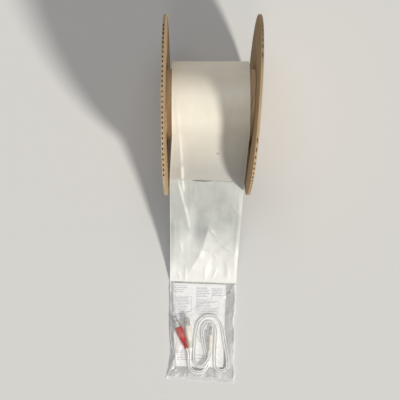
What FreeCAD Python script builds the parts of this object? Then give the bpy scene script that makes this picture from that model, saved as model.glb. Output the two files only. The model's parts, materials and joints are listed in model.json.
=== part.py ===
import FreeCAD, Part
import math
import os

# A reel of pre-opened bags: two corrugated board flanges on a paper core, wound film, and a
# lead of film that runs down to one filled bag.
# Millimetres. X is the core axis, the film leaves towards -Y, Z is up.
# The origin is the middle of the core bore, level with the middle of the wound film.

V = FreeCAD.Vector
x_axis = V(1, 0, 0)
y_axis = V(0, 1, 0)
z_axis = V(0, 0, 1)

# Film and bags
film_width = 101.6
bag_pitch = 177.8
ply = 0.25              # one film panel
ply_gap = 0.1           # air between two panels that lie together
perforation = 0.9       # width of the line that ties two bags together
lip_length = 25.0       # free strip of front panel at the open mouth
lead_length = 85.0      # film from the roll to the first perforation
takeoff_slope = 47.0    # degrees below level where the film leaves the roll
lead_drift = 4.6        # how far the film has moved to -X at the first perforation
film_skew = 2.0         # degrees by which the bags run off to -X
wrap_angle = 215.0      # degrees of outer wrap behind the take-off line
slope_step = 1e-9       # radians, how closely the slope at the surface is found

# Core and roll
core_bore = 76.2
core_wall = 9.6
roll_diameter = 117.0   # over the outer wrap
wrap_clearance = 0.3
roll_clearance = 0.3    # between core and wound film, where the start tape lies
tape_width = 25.0
tape_angle = 60.0

# Flanges, of single-wall board
flange_diameter = 241.3
board = 3.2
liner = 0.4
medium = 0.25
flute_pitch = 6.35
flank_angle = 48.0
glue_line = 0.03
flute_inset = 0.2
hole_clearance = 0.45   # radial, so that a flange can sit out of square
left_space = 7.2        # film edge to flange at the hub
right_space = 4.8
left_lean = 0.010       # outward per mm of height
right_lean = 0.028      # outward per mm of height
right_yaw = 0.062       # outward per mm towards the back
left_end = 2.8          # core beyond the outer liner
right_end = 4.8
dot_radius = 4.5
dot_lift = 1.5          # centre of a dot above the core
dot_count = 4
dot_first_angle = 20.0
bond = 0.02

# Filled bag, lying flat
filled_length = 143.0
seal_width = 5.8
bulge_take_up = 3.4     # each edge draws in over the contents
seal_take_up = 0.6
edge_height = 0.45
side_rise = 5.0
right_shoulder = 4.0
crown_left = 8.0        # the crown runs from the left shoulder to here, left of centre
crown_right = 24.0
crown_right_share = 0.8
right_share = 0.5
seat = 0.1              # air under a piece that lies on film or paper

# Leaflet, folded once
leaflet_width = 78.0
leaflet_length = 119.0
leaflet_leaf = 0.2
leaflet_left = -44.6    # across the bag, from its middle line
leaflet_top = 3.5       # along the bag, from the second perforation

# Twin lead
cord_diameter = 2.4
cord_spacing = 2.9
leadin_length = 6.5     # straight of each cord behind its plug
bend_share = 0.45       # share of each straight that a bend takes up
sample_step = 0.8       # along a cord, where its gaps are measured

# Phono plugs
grip_length = 33.0
grip_diameter = 10.0
grip_tail_diameter = 5.4
grip_front_share = 0.3
grip_bevel_length = 1.0
grip_bevel_depth = 0.6
tail_ribs = 4
tail_rib_pitch = 2.2
tail_rib_depth = 0.45
tail_rib_share = 0.6    # rib, of its pitch
shell_diameter = 8.3
shell_wall = 0.5
shell_length = 9.0
shell_slots = 4
slot_width = 0.8
slot_length = 6.0
insulator_length = 2.0
pin_diameter = 3.2
pin_length = 14.5
part_gap = 0.05
white_tail = (-15.4, 94.0)
white_front = (-20.4, 63.0)
plug_shift = 1.0        # red plug below the white one, along the bag
plug_tail_gap = -0.1    # between the grips, across the bag
plug_front_gap = 3.8

# Small plug on the far end of the lead
jack_tail = (13.4, 97.8)
jack_grip_length = 24.0
jack_grip_diameter = 7.0
jack_tail_diameter = 6.2
jack_diameter = 3.5
jack_sleeve_length = 7.0
jack_ring_length = 1.8
jack_spacer_length = 0.7
jack_tip_length = 3.8
jack_neck_diameter = 2.4
jack_point_diameter = 1.2
jack_taper_share = 0.35
jack_bevel_length = 1.0
jack_bevel_depth = 0.8
tip_neck_share = 0.3
tip_bulb_share = 0.6
jack_height = 5.2

# Front panel of the filled bag: its height at the mouth, and then, at stations along the bag,
# how far it lies above the top of the phono plugs
mouth_station = (1.0, 1.6)
bulge_stations = (
    (14, -7.05), (36, -2.45), (50, 0.75), (84, 1.55), (104, 0.15), (122, -2.25), (132, -5.25),
)

# Shared middle line of the twin lead: across the bag, along it, and above the surface
lead_route = (
    (-16.6, 110.5, 2.8), (-16.4, 122.5, 2.3), (-8.5, 130.4, 2.3), (2.5, 130.4, 2.3),
    (10.4, 122.5, 2.3), (10.0, 111.5, 2.3), (7.0, 100.0, 2.3), (3.9, 88.5, 2.3),
    (1.8, 76.5, 2.3), (1.6, 64.5, 2.3), (7.2, 57.4, 2.3), (15.2, 57.4, 2.3),
    (20.8, 63.5, 2.3), (21.6, 74.0, 2.3), (21.3, 86.0, 2.3), (20.9, 98.0, 2.3),
    (21.0, 110.0, 2.3), (21.8, 121.3, 2.3), (27.0, 126.7, 2.3), (34.6, 126.7, 2.3),
    (40.0, 121.3, 2.3), (39.6, 111.0, 2.3), (37.4, 99.5, 2.3), (34.8, 87.5, 2.3),
    (32.6, 75.5, 2.3), (29.6, 60.0, 2.3), (19.8, 48.0, 2.3), (5.2, 47.5, 2.3),
    (-5.0, 57.7, 2.3), (-7.4, 69.5, 2.3), (-8.4, 81.5, 2.3), (-8.9, 93.5, 2.3),
    (-8.8, 105.0, 2.4), (-8.4, 116.4, 2.9), (-3.4, 121.6, 3.7), (3.6, 121.6, 5.0),
    (8.6, 116.4, 5.8), (11.8, 109.6, 5.6), (13.4, 103.6, 5.2),
)


def tube(outer, inner, start, length):
    body = Part.makeCylinder(outer, length, V(start, 0, 0), x_axis)
    return body.cut(Part.makeCylinder(inner, length, V(start, 0, 0), x_axis))


def sector(outer, inner, start, length, first, angle):
    # Angles run from +Y towards +Z.
    turn = FreeCAD.Rotation(x_axis, first + 90).multiply(FreeCAD.Rotation(y_axis, 90))
    solid = Part.makeCylinder(outer, length, V(), z_axis, angle)
    solid = solid.cut(Part.makeCylinder(inner, length, V(), z_axis))
    solid.Placement = FreeCAD.Placement(V(start, 0, 0), turn)
    return solid


def prism(points, direction):
    wire = Part.makePolygon(list(points) + [points[0]])
    return Part.Face(wire).extrude(direction)


# Flanges
core_radius = core_bore / 2 + core_wall
flange_radius = flange_diameter / 2
floor = -flange_radius
hole_radius = core_radius + hole_clearance
left_hub = film_width / 2 + left_space
right_hub = film_width / 2 + right_space
wave_height = (board - 2 * liner - medium) / 2 - glue_line


def board_ring(start, thickness, inset):
    return tube(flange_radius - inset, hole_radius + inset, start, thickness)


def flute_band():
    # Arcs on the crests, joined by straight flanks at the flank angle.
    flank = math.radians(flank_angle)
    rise = math.sin(flank)
    run = math.cos(flank)
    half = flute_pitch / 2
    radius = (half - 2 * wave_height * run / rise) / (2 * (rise - run * (1 - run) / rise))
    crests = int(math.ceil(flange_radius / half)) + 1
    sides = []
    for side in (1, -1):
        edges = []
        last = None
        for crest in range(-crests, crests + 1):
            sign = 1 if crest % 2 == 0 else -1
            middle = V(sign * (wave_height - radius), crest * half, 0)
            bend = radius + sign * side * medium / 2
            first = middle + V(sign * bend * run, -bend * rise, 0)
            top = middle + V(sign * bend, 0, 0)
            second = middle + V(sign * bend * run, bend * rise, 0)
            if last is not None:
                edges.append(Part.LineSegment(last, first).toShape())
            edges.append(Part.Arc(first, top, second).toShape())
            last = second
        sides.append((edges, edges[0].Vertexes[0].Point, last))
    upper, lower = sides
    ends = [Part.makeLine(upper[1], lower[1]), Part.makeLine(upper[2], lower[2])]
    wire = Part.Wire(Part.__sortEdges__(upper[0] + lower[0] + ends))
    band = Part.Face(wire).extrude(V(0, 0, 2 * flange_radius))
    band.translate(V(board / 2, 0, -flange_radius))
    return band


def flange_layers():
    # Local X runs outwards from the inner face.
    ring = board_ring(0, board, flute_inset)
    return {
        "inner_liner": board_ring(0, liner, 0),
        "fluting": flute_band().common(ring).Solids[0],
        "outer_liner": board_ring(board - liner, liner, 0),
    }


def left_place():
    lean = FreeCAD.Rotation(y_axis, -math.degrees(math.atan(left_lean)))
    turn = FreeCAD.Rotation(z_axis, 180)
    return FreeCAD.Placement(V(-left_hub, 0, 0), lean.multiply(turn))


def right_place():
    tilt = FreeCAD.Rotation(x_axis, V(1, -right_yaw, -right_lean))
    turn = FreeCAD.Rotation(x_axis, 90)
    return FreeCAD.Placement(V(right_hub, 0, 0), tilt.multiply(turn))


def glue_dots(place):
    # Beads in the corner of the core and the outer liner.
    inside = left_hub + right_hub
    span = 2 * flange_diameter
    keep_out = Part.makeBox(inside, span, span, V(board + bond - inside, -span / 2, -span / 2))
    keep_out.Placement = place
    core = Part.makeCylinder(core_radius + bond, 2 * span, V(-span, 0, 0), x_axis)
    taken = core.fuse(keep_out)
    dots = []
    for index in range(dot_count):
        angle = math.radians(dot_first_angle + index * 360 / dot_count)
        reach = core_radius + dot_lift
        local = V(board, reach * math.cos(angle), reach * math.sin(angle))
        dot = Part.makeSphere(dot_radius, place.multVec(local), x_axis)
        dots.extend(dot.cut(taken).Solids)
    return Part.makeCompound(dots)


def reel_nodes():
    nodes = {}
    layers = flange_layers()
    places = {"left": left_place(), "right": right_place()}
    for side, place in places.items():
        for layer, shape in layers.items():
            piece = shape.copy()
            piece.Placement = place.multiply(piece.Placement)
            nodes[side + "_flange_" + layer] = piece
        nodes[side + "_glue_dots"] = glue_dots(place)
    left_face = left_hub + board + left_end
    right_face = right_hub + board + right_end
    nodes["core_tube"] = tube(core_radius, core_bore / 2, -left_face, left_face + right_face)
    wound_radius = roll_diameter / 2 - 2 * ply - ply_gap - wrap_clearance
    wound_bore = core_radius + roll_clearance
    nodes["film_roll"] = tube(wound_radius, wound_bore, -film_width / 2, film_width)
    tape_outer = core_radius + roll_clearance - part_gap
    tape_inner = core_radius + part_gap
    nodes["start_tape"] = sector(tape_outer, tape_inner, -tape_width / 2, tape_width, 0, tape_angle)
    return nodes


# Film path: off the roll at a slope, down to the first perforation, then one bag in an arc
# that grows flatter until the second perforation meets the surface.
film_band = 2 * ply + ply_gap
half_width = film_width / 2
half_gap = perforation / 2
path_radius = roll_diameter / 2 - film_band / 2
slope = math.radians(takeoff_slope)
skew = FreeCAD.Rotation(z_axis, -film_skew)


def film_down(angle):
    return V(0, -math.cos(angle), -math.sin(angle))


def film_up(angle):
    return V(0, -math.sin(angle), math.cos(angle))


takeoff = film_up(slope) * path_radius
first_fold = takeoff + film_down(slope) * lead_length + V(-lead_drift, 0, 0)


def landing_slope():
    # The slope at the far end of the bag for which the bag just reaches the surface.
    drop = first_fold.z - floor - film_band / 2
    low = -slope
    high = slope - slope_step
    while high - low > slope_step:
        guess = (low + high) / 2
        reached = bag_pitch * (math.cos(guess) - math.cos(slope)) / (slope - guess)
        if reached < drop:
            low = guess
        else:
            high = guess
    return (low + high) / 2


flat_slope = landing_slope()
bag_radius = bag_pitch / (slope - flat_slope)


def bag_point(distance, offset):
    angle = slope - distance / bag_radius
    return (film_up(slope) * bag_radius) - film_up(angle) * (bag_radius - offset)


def bag_panel(start, end, low, high):
    # Part of the empty bag, between two distances along it and two heights across the film.
    middle = (start + end) / 2
    lower = Part.Arc(bag_point(start, low), bag_point(middle, low), bag_point(end, low)).toShape()
    upper = Part.Arc(bag_point(start, high), bag_point(middle, high), bag_point(end, high)).toShape()
    first = Part.makeLine(bag_point(start, low), bag_point(start, high))
    last = Part.makeLine(bag_point(end, low), bag_point(end, high))
    wire = Part.Wire(Part.__sortEdges__([lower, last, upper, first]))
    panel = Part.Face(wire).extrude(V(film_width, 0, 0))
    panel.translate(V(-half_width, 0, 0))
    panel.Placement = FreeCAD.Placement(first_fold, skew).multiply(panel.Placement)
    return panel


def film_section(middle, across, normal):
    side = across * half_width
    lift = normal * (film_band / 2)
    corners = (middle - side - lift, middle + side - lift, middle + side + lift, middle - side + lift)
    return Part.makePolygon(list(corners) + [corners[0]])


def lead_film():
    near = film_section(takeoff, x_axis, film_up(slope))
    far_middle = first_fold - skew.multVec(film_down(slope)) * half_gap
    far = film_section(far_middle, skew.multVec(x_axis), skew.multVec(film_up(slope)))
    return Part.makeLoft([near, far], True, True)


def film_nodes():
    back = (-film_band / 2, -film_band / 2 + ply)
    front = (film_band / 2 - ply, film_band / 2)
    wrap_outer = path_radius + film_band / 2
    wrap_inner = path_radius - film_band / 2
    wrap_start = math.degrees(math.atan2(takeoff.z, takeoff.y)) - wrap_angle
    wrap = sector(wrap_outer, wrap_inner, -half_width, film_width, wrap_start, wrap_angle)
    return {
        "outer_wrap": wrap,
        "lead_film": lead_film(),
        "empty_bag_back": bag_panel(half_gap, bag_pitch - half_gap, *back),
        "empty_bag_front": bag_panel(lip_length + half_gap, bag_pitch - half_gap, *front),
        "mouth_lip": bag_panel(half_gap, lip_length - half_gap, *front),
    }


# Filled bag. Its own frame is flat on the surface: X across, -Y along, Z up, from the second
# perforation.
second_fold = first_fold + skew.multVec(bag_point(bag_pitch, 0))
bag_place = FreeCAD.Placement(V(second_fold.x, second_fold.y, floor), skew)
front_base = ply + ply_gap
bulge_end = filled_length - seal_width
leaflet_base = ply + seat
leaflet_thick = 3 * leaflet_leaf
cord_base = leaflet_base + leaflet_thick + seat
plug_top = cord_base + grip_diameter
bag_stations = [mouth_station] + [(along, plug_top + above) for along, above in bulge_stations]


def bag_at(across, along, height):
    return V(across, -along, height)


def bag_half_width(along):
    if along < bag_stations[1][0]:
        return half_width - bulge_take_up * along / bag_stations[1][0]
    if along > bag_stations[-2][0]:
        share = (along - bag_stations[-2][0]) / (bulge_end - bag_stations[-2][0])
        return half_width - bulge_take_up + (bulge_take_up - seal_take_up) * share
    return half_width - bulge_take_up


def front_profile(along, height, inset):
    half = bag_half_width(along) - inset
    edge = front_base + edge_height - inset
    foot = front_base - (2 * ply if inset else 0)
    top = height - inset
    points = (
        (-half, foot), (-half, edge), (-half + side_rise, top), (-crown_left, top),
        (crown_right, height * crown_right_share - inset),
        (half - right_shoulder, max(height * right_share, front_base + edge_height) - inset),
        (half, edge), (half, foot),
    )
    corners = [bag_at(across, along, level) for across, level in points]
    return Part.makePolygon(corners + [corners[0]])


def filled_front():
    stations = bag_stations + [(bulge_end - part_gap, mouth_station[1])]
    wall = ply + ply_gap
    outer = [front_profile(along, height, 0) for along, height in stations]
    inner = [front_profile(along, height, wall) for along, height in stations[1:-1]]
    first = stations[0]
    last = stations[-1]
    inner.insert(0, front_profile(first[0] + ply, first[1], wall))
    inner.append(front_profile(last[0] - ply, last[1], wall))
    return Part.makeLoft(outer, True, True).cut(Part.makeLoft(inner, True, True))


def filled_back():
    stops = [half_gap] + [along for along, height in bag_stations[1:]] + [bulge_end - part_gap]
    left = [bag_at(-bag_half_width(along), along, 0) for along in stops]
    right = [bag_at(bag_half_width(along), along, 0) for along in reversed(stops)]
    return prism(left + right, V(0, 0, ply))


def bottom_seal():
    half = half_width - seal_take_up
    corner = bag_at(-half, filled_length, 0)
    return Part.makeBox(2 * half, seal_width, 2 * ply, corner)


def leaflet():
    # Two leaves, joined along the fold at the left.
    right = leaflet_left + leaflet_width
    fold = leaflet_left + leaflet_leaf
    points = (
        (leaflet_left, 0), (right, 0), (right, leaflet_leaf), (fold, leaflet_leaf),
        (fold, 2 * leaflet_leaf), (right, 2 * leaflet_leaf), (right, 3 * leaflet_leaf),
        (leaflet_left, 3 * leaflet_leaf),
    )
    corners = [bag_at(across, leaflet_top, leaflet_base + level) for across, level in points]
    return prism(corners, V(0, -leaflet_length, 0))


# Twin lead
def offset_route(route, distance):
    # Moves each point sideways, level, so that the line runs beside the middle line.
    moved = []
    for index, point in enumerate(route):
        turn = []
        for first, second in ((index - 1, index), (index, index + 1)):
            if 0 <= first and second < len(route):
                step = V(route[second][0] - route[first][0], route[second][1] - route[first][1], 0)
                turn.append(step.normalize())
        normals = [V(step.y, -step.x, 0) for step in turn]
        normal = (normals[0] + normals[-1]).normalize()
        share = distance / normal.dot(normals[0])
        moved.append((point[0] + normal.x * share, point[1] + normal.y * share, point[2]))
    return moved


def cord_tube(points, name):
    corners = [bag_at(*point) for point in points]
    edges = []
    radii = []
    last = corners[0]
    for index in range(1, len(corners) - 1):
        before = corners[index] - corners[index - 1]
        after = corners[index + 1] - corners[index]
        reach = bend_share * min(before.Length, after.Length)
        before.normalize()
        after.normalize()
        half_turn = before.getAngle(after) / 2
        radius = reach / math.tan(half_turn)
        radii.append(radius)
        start = corners[index] - before * reach
        end = corners[index] + after * reach
        inward = (after - before).normalize()
        middle = corners[index] + inward * (radius / math.cos(half_turn) - radius)
        edges.append(Part.LineSegment(last, start).toShape())
        edges.append(Part.Arc(start, middle, end).toShape())
        last = end
    edges.append(Part.LineSegment(last, corners[-1]).toShape())
    path = Part.Wire(edges)
    section = Part.Circle(corners[0], (corners[1] - corners[0]).normalize(), cord_diameter / 2)
    solid = path.makePipeShell([Part.Wire([section.toShape()])], True, False)
    ideal = math.pi * cord_diameter ** 2 / 4 * path.Length
    print(name, "length", round(path.Length, 1), "volume ratio", round(solid.Volume / ideal, 4))
    print(name, "least radius", round(min(radii), 1), [round(radius) for radius in radii])
    print(name, "least gap to itself", round(self_gap(path), 2))
    return solid, path


def path_points(path):
    return path.discretize(Distance=sample_step)


def self_gap(path):
    # Points more than three diameters apart along the cord.
    points = path_points(path)
    apart = int(3 * cord_diameter / sample_step) + 1
    least = 1e9
    for index, point in enumerate(points):
        for other in points[index + apart:]:
            least = min(least, point.distanceToPoint(other))
    return least - cord_diameter


def cross_gap(first, second):
    least = 1e9
    others = path_points(second)
    for point in path_points(first):
        for other in others:
            least = min(least, point.distanceToPoint(other))
    return least - cord_diameter


grip_height = cord_base + grip_diameter / 2
red_tail = (white_tail[0] - grip_tail_diameter - plug_tail_gap, white_tail[1] + plug_shift)
red_front = (white_front[0] - grip_diameter - plug_front_gap, white_front[1] + plug_shift)


def plug_leadin(tail, front):
    back = V(tail[0] - front[0], tail[1] - front[1], 0).normalize() * leadin_length
    return [(tail[0], tail[1], grip_height), (tail[0] + back.x, tail[1] + back.y, grip_height)]


def twin_lead():
    side = cord_spacing / 2
    end = [(jack_tail[0], jack_tail[1], jack_height)]
    middle = list(lead_route) + end
    white = plug_leadin(white_tail, white_front) + offset_route(middle, side)
    red = plug_leadin(red_tail, red_front) + offset_route(middle, -side)
    red_solid, red_path = cord_tube(red, "red_cord")
    white_solid, white_path = cord_tube(white, "white_cord")
    print("least gap between the cords", round(cross_gap(red_path, white_path), 2))
    return {"red_cord": red_solid, "white_cord": white_solid}


# Plugs, built along Z from the tail of the grip.
def turned(profile):
    # Radius and height pairs, closed along the axis.
    points = [V(radius, 0, height) for radius, height in profile]
    wire = Part.makePolygon(points + [points[0]])
    return Part.Face(wire).revolve(V(), z_axis, 360)


def plug_place(tail, front, height):
    start = bag_at(tail[0], tail[1], height)
    end = bag_at(front[0], front[1], height)
    return FreeCAD.Placement(start, FreeCAD.Rotation(z_axis, end - start))


def grip():
    tail = grip_tail_diameter / 2
    front = grip_diameter / 2
    ribbed = tail_ribs * tail_rib_pitch
    profile = [(0, 0)]
    for rib in range(tail_ribs):
        base = rib * tail_rib_pitch
        profile.append((tail, base))
        profile.append((tail, base + tail_rib_pitch * tail_rib_share))
        profile.append((tail - tail_rib_depth, base + tail_rib_pitch * tail_rib_share))
        profile.append((tail - tail_rib_depth, base + tail_rib_pitch))
    profile.append((tail, ribbed))
    profile.append((front, grip_length * (1 - grip_front_share)))
    profile.append((front, grip_length - grip_bevel_length))
    profile.append((front - grip_bevel_depth, grip_length))
    profile.append((0, grip_length))
    return turned(profile)


def shell():
    outer = shell_diameter / 2
    ring = Part.makeCylinder(outer, shell_length, V(0, 0, grip_length))
    ring = ring.cut(Part.makeCylinder(outer - shell_wall, shell_length, V(0, 0, grip_length)))
    slot_base = grip_length + shell_length - slot_length
    for index in range(shell_slots // 2):
        slot = Part.makeBox(slot_width, shell_diameter, slot_length, V(-slot_width / 2, -outer, slot_base))
        slot.rotate(V(), z_axis, index * 360 / shell_slots)
        ring = ring.cut(slot)
    return ring


def insulator():
    outer = shell_diameter / 2 - shell_wall - part_gap
    disc = Part.makeCylinder(outer, insulator_length, V(0, 0, grip_length))
    return disc.cut(Part.makeCylinder(pin_diameter / 2 + part_gap, insulator_length, V(0, 0, grip_length)))


def pin():
    radius = pin_diameter / 2
    body = Part.makeCylinder(radius, pin_length - radius, V(0, 0, grip_length))
    return body.fuse(Part.makeSphere(radius, V(0, 0, grip_length + pin_length - radius))).removeSplitter()


def phono_plug(colour, tail, front):
    place = plug_place(tail, front, grip_height)
    shapes = {"grip": grip(), "shell": shell(), "insulator": insulator(), "pin": pin()}
    nodes = {}
    for name, shape in shapes.items():
        shape.Placement = place.multiply(shape.Placement)
        nodes[colour + "_plug_" + name] = shape
    return nodes


def small_plug():
    radius = jack_diameter / 2
    front = jack_grip_diameter / 2
    tail = jack_tail_diameter / 2
    neck = jack_neck_diameter / 2
    point = jack_point_diameter / 2
    body = turned((
        (0, 0), (tail, 0), (front, jack_grip_length * jack_taper_share),
        (front, jack_grip_length - jack_bevel_length),
        (front - jack_bevel_depth, jack_grip_length), (0, jack_grip_length),
    ))
    levels = [jack_grip_length]
    for length in (jack_sleeve_length, jack_spacer_length, jack_ring_length, jack_spacer_length):
        levels.append(levels[-1] + length)
    sleeve_base, spacer_base, ring_base, second_base, tip_base = levels
    sleeve = Part.makeCylinder(radius, jack_sleeve_length, V(0, 0, sleeve_base))
    spacers = [Part.makeCylinder(radius - part_gap, jack_spacer_length, V(0, 0, base))
               for base in (spacer_base, second_base)]
    ring = Part.makeCylinder(radius, jack_ring_length, V(0, 0, ring_base))
    tip_end = tip_base + jack_tip_length
    tip = turned((
        (0, tip_base), (radius, tip_base), (neck, tip_base + jack_tip_length * tip_neck_share),
        (radius, tip_base + jack_tip_length * tip_bulb_share), (point, tip_end), (0, tip_end),
    ))
    shapes = {"grip": body, "sleeve": sleeve, "spacers": Part.makeCompound(spacers), "ring": ring, "tip": tip}
    place = plug_place(jack_tail, (jack_tail[0], jack_tail[1] - jack_grip_length), jack_height)
    nodes = {}
    for name, shape in shapes.items():
        shape.Placement = place.multiply(shape.Placement)
        nodes["small_plug_" + name] = shape
    return nodes


def filled_nodes():
    nodes = {
        "filled_bag_back": filled_back(),
        "filled_bag_front": filled_front(),
        "bottom_seal": bottom_seal(),
        "leaflet": leaflet(),
    }
    nodes.update(twin_lead())
    nodes.update(phono_plug("red", red_tail, red_front))
    nodes.update(phono_plug("white", white_tail, white_front))
    nodes.update(small_plug())
    for shape in nodes.values():
        shape.Placement = bag_place.multiply(shape.Placement)
    return nodes


def main():
    os.makedirs("parts", exist_ok=True)
    nodes = reel_nodes()
    nodes.update(film_nodes())
    nodes.update(filled_nodes())
    for name, shape in nodes.items():
        shape.exportStep("parts/" + name + ".step")
        print(name, len(shape.Solids), round(shape.Volume, 1), shape.isValid())
    lip_fold = first_fold + skew.multVec(bag_point(lip_length, (film_band - ply) / 2))
    fold_axis = skew.multVec(x_axis)
    print("first fold", [round(value, 3) for value in first_fold])
    print("lip fold", [round(value, 3) for value in lip_fold])
    print("second fold", [round(value, 3) for value in second_fold])
    print("fold axis", [round(value, 6) for value in fold_axis])
    print("slope at the surface", round(math.degrees(flat_slope), 2), "floor", floor)


main()
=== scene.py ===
import json
import math
import random
import bpy
from mathutils import Matrix, Vector, noise


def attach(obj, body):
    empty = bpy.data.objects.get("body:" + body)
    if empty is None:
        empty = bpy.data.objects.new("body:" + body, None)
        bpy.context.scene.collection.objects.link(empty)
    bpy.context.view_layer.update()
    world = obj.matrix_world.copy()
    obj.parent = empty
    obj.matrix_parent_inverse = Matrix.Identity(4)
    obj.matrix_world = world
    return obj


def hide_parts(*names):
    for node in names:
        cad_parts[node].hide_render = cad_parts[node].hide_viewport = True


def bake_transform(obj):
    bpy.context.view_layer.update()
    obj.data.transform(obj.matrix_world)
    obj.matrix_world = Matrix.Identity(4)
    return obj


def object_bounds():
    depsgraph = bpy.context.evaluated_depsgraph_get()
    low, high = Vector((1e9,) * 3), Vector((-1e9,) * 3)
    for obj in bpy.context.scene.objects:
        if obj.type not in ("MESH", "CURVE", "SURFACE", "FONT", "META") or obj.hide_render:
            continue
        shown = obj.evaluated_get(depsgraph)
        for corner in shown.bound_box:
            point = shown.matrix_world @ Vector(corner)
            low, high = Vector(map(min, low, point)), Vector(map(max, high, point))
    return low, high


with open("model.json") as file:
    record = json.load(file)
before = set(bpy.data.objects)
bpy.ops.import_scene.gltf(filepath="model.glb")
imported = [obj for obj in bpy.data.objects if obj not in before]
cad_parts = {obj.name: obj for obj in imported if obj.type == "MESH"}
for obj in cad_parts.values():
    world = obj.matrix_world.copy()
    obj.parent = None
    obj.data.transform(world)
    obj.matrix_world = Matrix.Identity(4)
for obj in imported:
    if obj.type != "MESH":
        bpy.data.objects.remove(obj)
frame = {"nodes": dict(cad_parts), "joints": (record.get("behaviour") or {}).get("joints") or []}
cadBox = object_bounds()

# Reel of pre-opened bags, with one filled bag lying in front of it.
# Metres, X along the core, film leaves towards -Y, Z up.

mm = 0.001
scene = bpy.context.scene
nodes = frame["nodes"]
joints = {joint["name"]: joint for joint in frame["joints"]}
firstFold = Vector(joints["first_perforation"]["pos_m"])
secondFold = Vector(joints["second_perforation"]["pos_m"])
floorHeight = cadBox[0].z

film = {
    "halfWidth": 50.8 * mm,
    "rollRadius": 58.2 * mm,      # middle of the two plies on the roll
    "slope": math.radians(47),    # where the film leaves the roll
    "leadLength": 85 * mm,
    "wrapLength": 218.4 * mm,     # film still on the roll, behind the take-off line
    "tuckLength": 45 * mm,        # its end dives under the wound film
    "tuckDepth": 0.75 * mm,
    "bagPitch": 177.8 * mm,
    "bagEndSlope": math.radians(20.48),
    "skew": math.radians(2),
    "tieGap": 0.45 * mm,          # half of a perforation line
    # the tube's folded sides are painted whiter: doubled film, with a painted highlight along them
    "sideWhite": (0.6, 1.1),      # how white its folded sides look, and over what width in millimetres
}
filmWidth = 2 * film["halfWidth"]


# small tools

mergeDistance = 1e-6
foldFade = {"gain": 4, "least": 0.15}      # a ridge dies away towards both of its ends


def pick(thing):
    bpy.ops.object.select_all(action="DESELECT")
    thing.select_set(True)
    bpy.context.view_layer.objects.active = thing


def applyAll(thing):
    pick(thing)
    for modifier in list(thing.modifiers):
        bpy.ops.object.modifier_apply(modifier=modifier.name)


def smoothShade(thing, angle=40):
    pick(thing)
    bpy.ops.object.shade_smooth_by_angle(angle=math.radians(angle))


def setAll(thing, settings):
    for name, value in settings.items():
        setattr(thing, name, value)


def addModifier(thing, name, kind, **settings):
    setAll(thing.modifiers.new(name, kind), settings)


def newGrid(name, columns, rows):
    bpy.ops.object.select_all(action="DESELECT")
    bpy.ops.mesh.primitive_grid_add(x_subdivisions=columns, y_subdivisions=rows, size=2)
    bpy.context.object.name = name
    return bpy.context.object


def makeSheet(name, cells, place, pleatAndPaintedLight=None):
    # A grid laid out by place(across, along), both from 0 to 1, along running off the roll.
    # The whitening function, given across and along, says where the film is doubled and where painted
    # highlights and painted light whiten it, for its material.
    sheet = newGrid(name, *cells)
    layer = sheet.data.attributes.new("pleatAndPaintedLight", "FLOAT", "POINT") if pleatAndPaintedLight else None
    for vertex in sheet.data.vertices:
        shares = ((vertex.co.x + 1) / 2, (1 - vertex.co.y) / 2)
        vertex.co = place(*shares)
        if layer:
            layer.data[vertex.index].value = pleatAndPaintedLight(*shares)
    sheet.data.update()
    return sheet


def thicken(sheet, thickness, rounding=0.0):
    addModifier(sheet, "ply", "SOLIDIFY", thickness=thickness, offset=0)
    if rounding:      # of the cut edges only
        addModifier(sheet, "softEdge", "BEVEL", width=rounding, segments=2, limit_method="ANGLE",
                    angle_limit=math.radians(60))
    applyAll(sheet)
    smoothShade(sheet)


def wear(thing, material):
    thing.data.materials.clear()
    thing.data.materials.append(material)


def placeOn(thing, material, body, slot, *cadNames):
    # A finished piece: its look, the body that carries it, and the CAD nodes that it stands for.
    wear(thing, material)
    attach(thing, body)
    if cadNames:
        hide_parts(*cadNames)


def editAll(thing, *steps):
    # Each step is an edit-mode operator, and acts on the whole mesh.
    pick(thing)
    bpy.ops.object.mode_set(mode="EDIT")
    for step in steps:
        bpy.ops.mesh.select_all(action="SELECT")
        step()
    bpy.ops.object.mode_set(mode="OBJECT")


def mergePoints():
    bpy.ops.mesh.remove_doubles(threshold=mergeDistance)


def cutAway(thing, kind, wanted):
    # Deletes the points or faces that wanted(item) picks.
    pick(thing)
    bpy.ops.object.mode_set(mode="EDIT")
    bpy.ops.mesh.select_mode(type=kind)
    bpy.ops.mesh.select_all(action="DESELECT")
    bpy.ops.object.mode_set(mode="OBJECT")
    for item in thing.data.polygons if kind == "FACE" else thing.data.vertices:
        item.select = wanted(item)
    bpy.ops.object.mode_set(mode="EDIT")
    bpy.ops.mesh.delete(type=kind)
    bpy.ops.object.mode_set(mode="OBJECT")


def foldHeight(folds, across, along):
    # Sum of ridges, each from one point to another, in millimetres. Power 1 is a crisp crease, 2 a
    # soft fold. An eighth number makes a ridge's left slope that many times as wide as its right one.
    total = 0.0
    for fold in folds:
        startAcross, startAlong, endAcross, endAlong, width, height, power = fold[:7]
        runX = endAcross - startAcross
        runY = endAlong - startAlong
        length = runX * runX + runY * runY
        share = ((across - startAcross) * runX + (along - startAlong) * runY) / length
        share = min(1.0, max(0.0, share))
        offX = across - startAcross - share * runX
        offY = along - startAlong - share * runY
        fade = min(1.0, foldFade["gain"] * min(share, 1 - share) + foldFade["least"])
        if len(fold) > 7 and offX * runY < offY * runX:
            width *= fold[7]
        away = math.sqrt(offX * offX + offY * offY) / width
        total += height * fade * math.exp(-away ** power)
    return total


def ripple(waves, across, along):
    # Unevenness: each wave has a height, a size across, a size along and a place in the noise.
    total = 0.0
    for height, sizeAcross, sizeAlong, place in waves:
        total += height * noise.noise(Vector((across / sizeAcross, along / sizeAlong, place)))
    return total


def ramp(value, low, high):
    share = min(1.0, max(0.0, (value - low) / (high - low)))
    return share * share * (3 - 2 * share)


def fadeIn(value, edge, fade):
    return ramp(value, edge + fade[0], edge + fade[1])


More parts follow.
